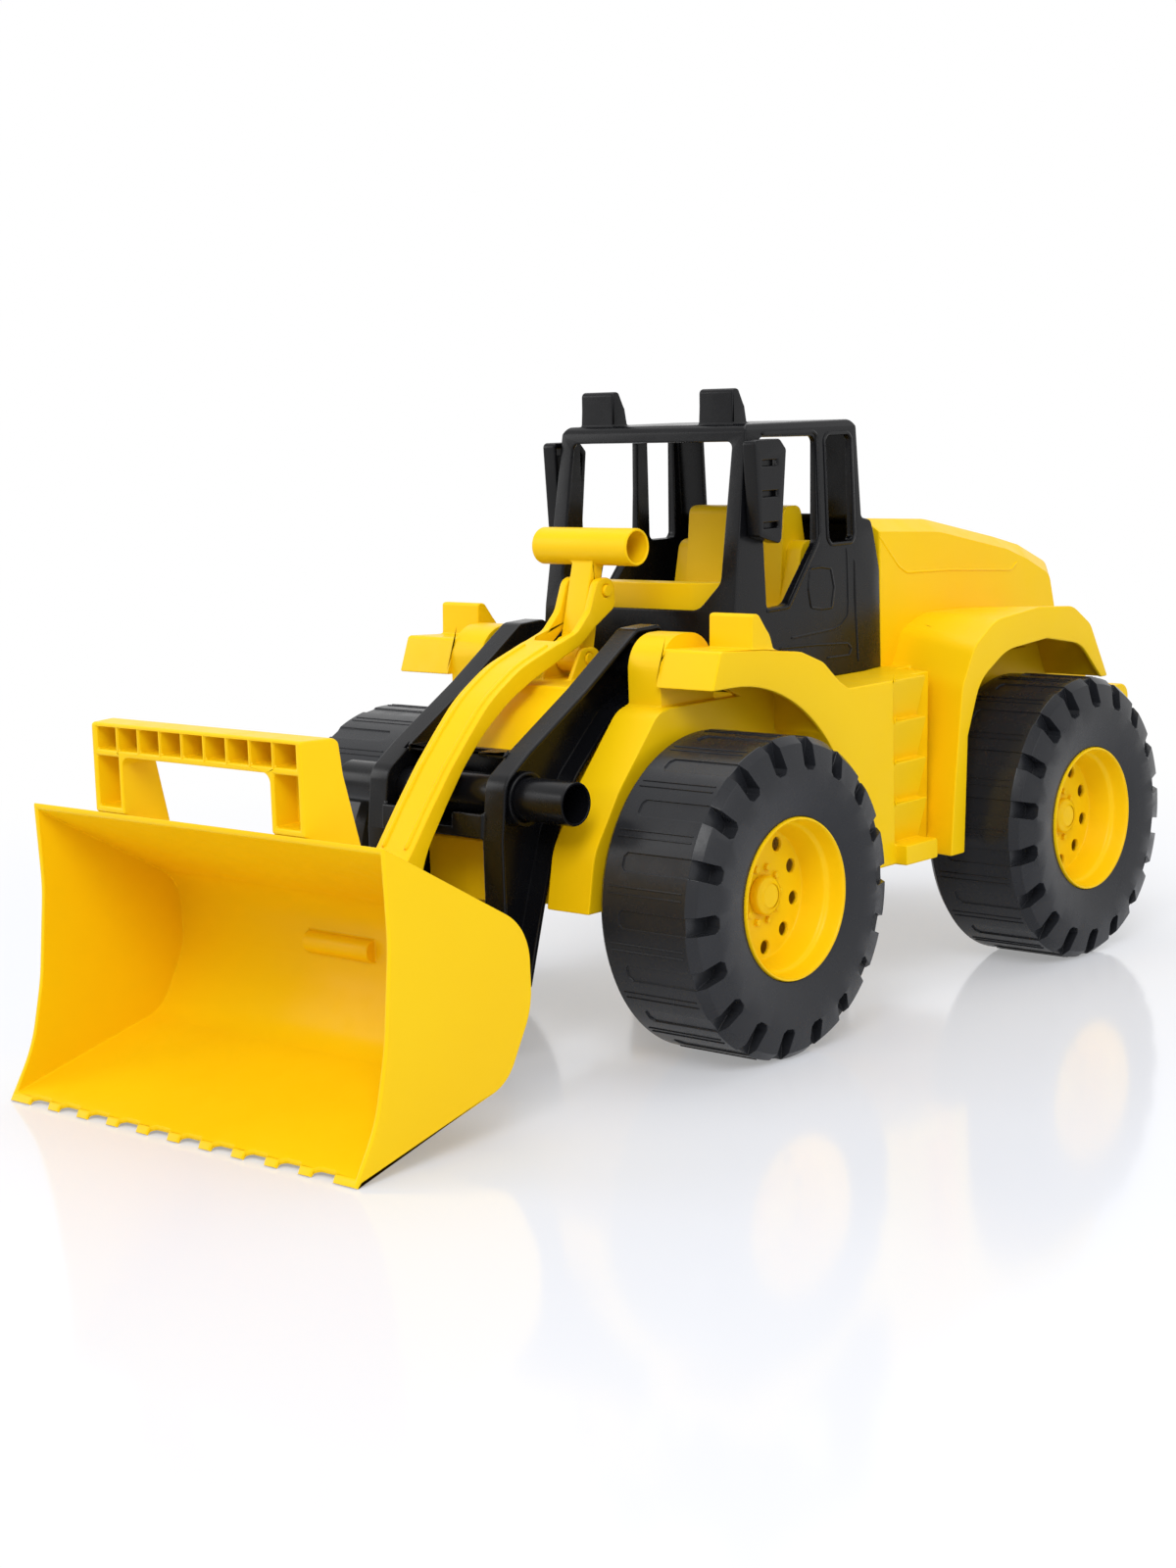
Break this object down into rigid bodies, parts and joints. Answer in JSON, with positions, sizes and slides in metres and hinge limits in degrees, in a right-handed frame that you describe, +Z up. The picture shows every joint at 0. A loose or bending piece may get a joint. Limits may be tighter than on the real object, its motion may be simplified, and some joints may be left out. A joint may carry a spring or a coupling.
{
  "type": "toy wheel loader",
  "caption": "Large plastic sand-pit wheel loader with a lever-tilted front bucket on lifting arms, an open cab and free-turning wheels.",
  "frame": {"origin": "on the ground, under the middle of the overall width and length", "axes": "+X to the driver's left, +Y to the rear, +Z up; the bucket faces -Y"},
  "size_m": [0.324, 0.7592, 0.3624],
  "materials": {
    "yellow_plastic": "satin",
    "black_plastic": "satin",
    "tyre_plastic": "satin",
    "axle_steel": "drawn"
  },
  "bodies": {
    "chassis": {"body_shell": "yellow_plastic", "cab_shell": "black_plastic", "cab_interior": "yellow_plastic", "mirror_left": "black_plastic", "mirror_right": "black_plastic", "front_axle": "axle_steel", "rear_axle": "axle_steel", "axle_nuts_front": "axle_steel", "axle_nuts_rear": "axle_steel", "arm_pins": "black_plastic", "lever_pin": "yellow_plastic"},
    "wheel_front_left": {"tyre_front_left": "tyre_plastic", "rim_front_left": "yellow_plastic", "hub_cap_front_left": "yellow_plastic"},
    "wheel_front_right": {"tyre_front_right": "tyre_plastic", "rim_front_right": "yellow_plastic", "hub_cap_front_right": "yellow_plastic"},
    "wheel_rear_left": {"tyre_rear_left": "tyre_plastic", "rim_rear_left": "yellow_plastic", "hub_cap_rear_left": "yellow_plastic"},
    "wheel_rear_right": {"tyre_rear_right": "tyre_plastic", "rim_rear_right": "yellow_plastic", "hub_cap_rear_right": "yellow_plastic"},
    "lift_arms": {"lift_frame": "black_plastic", "cross_tube": "black_plastic"},
    "bucket_pivot": {"bucket_pins": "yellow_plastic"},
    "bucket": {"bucket_shell": "yellow_plastic", "bucket_handle": "yellow_plastic", "link_pin_bucket": "yellow_plastic"},
    "lever": {"tilt_lever": "yellow_plastic"},
    "link_pivot": {"link_pin_lever": "yellow_plastic"},
    "link": {"tilt_link": "yellow_plastic"}
  },
  "joints": [
    {"name": "arm_lift", "type": "hinge", "parent": "chassis", "child": "lift_arms", "pos_m": [0, -0.06745, 0.212], "axis": [-1, 0, 0], "range_deg": [0, 50]},
    {"name": "tilt_lever", "type": "hinge", "parent": "chassis", "child": "lever", "pos_m": [0, -0.06745, 0.212], "axis": [-1, 0, 0], "range_deg": [-50, 5]},
    {"name": "bucket_level", "type": "hinge", "parent": "lift_arms", "child": "bucket_pivot", "pos_m": [0, -0.23745, 0.06], "axis": [-1, 0, 0], "range_deg": [-50.5, 0.5]},
    {"name": "bucket_tilt", "type": "hinge", "parent": "bucket_pivot", "child": "bucket", "pos_m": [0, -0.23745, 0.06], "axis": [-1, 0, 0], "range_deg": [-50.5, 5.5]},
    {"name": "link_level", "type": "hinge", "parent": "lever", "child": "link_pivot", "pos_m": [0, -0.05345, 0.25], "axis": [-1, 0, 0], "range_deg": [-0.5, 50.5]},
    {"name": "link_swing", "type": "hinge", "parent": "link_pivot", "child": "link", "pos_m": [0, -0.05345, 0.25], "axis": [-1, 0, 0], "range_deg": [-5.5, 50.5]},
    {"name": "wheel_spin_front_left", "type": "hinge", "parent": "chassis", "child": "wheel_front_left", "pos_m": [0.127, -0.07145, 0.0884], "axis": [1, 0, 0], "continuous": true},
    {"name": "wheel_spin_front_right", "type": "hinge", "parent": "chassis", "child": "wheel_front_right", "pos_m": [-0.127, -0.07145, 0.0884], "axis": [1, 0, 0], "continuous": true},
    {"name": "wheel_spin_rear_left", "type": "hinge", "parent": "chassis", "child": "wheel_rear_left", "pos_m": [0.127, 0.23805, 0.0884], "axis": [1, 0, 0], "continuous": true},
    {"name": "wheel_spin_rear_right", "type": "hinge", "parent": "chassis", "child": "wheel_rear_right", "pos_m": [-0.127, 0.23805, 0.0884], "axis": [1, 0, 0], "continuous": true}
  ],
  "couplings": [
    {"joint": "bucket_level", "follows": "arm_lift", "ratio": -1},
    {"joint": "bucket_tilt", "follows": "tilt_lever", "ratio": 1},
    {"joint": "link_level", "follows": "arm_lift", "ratio": 1},
    {"joint": "link_swing", "follows": "tilt_lever", "ratio": -1}
  ]
}
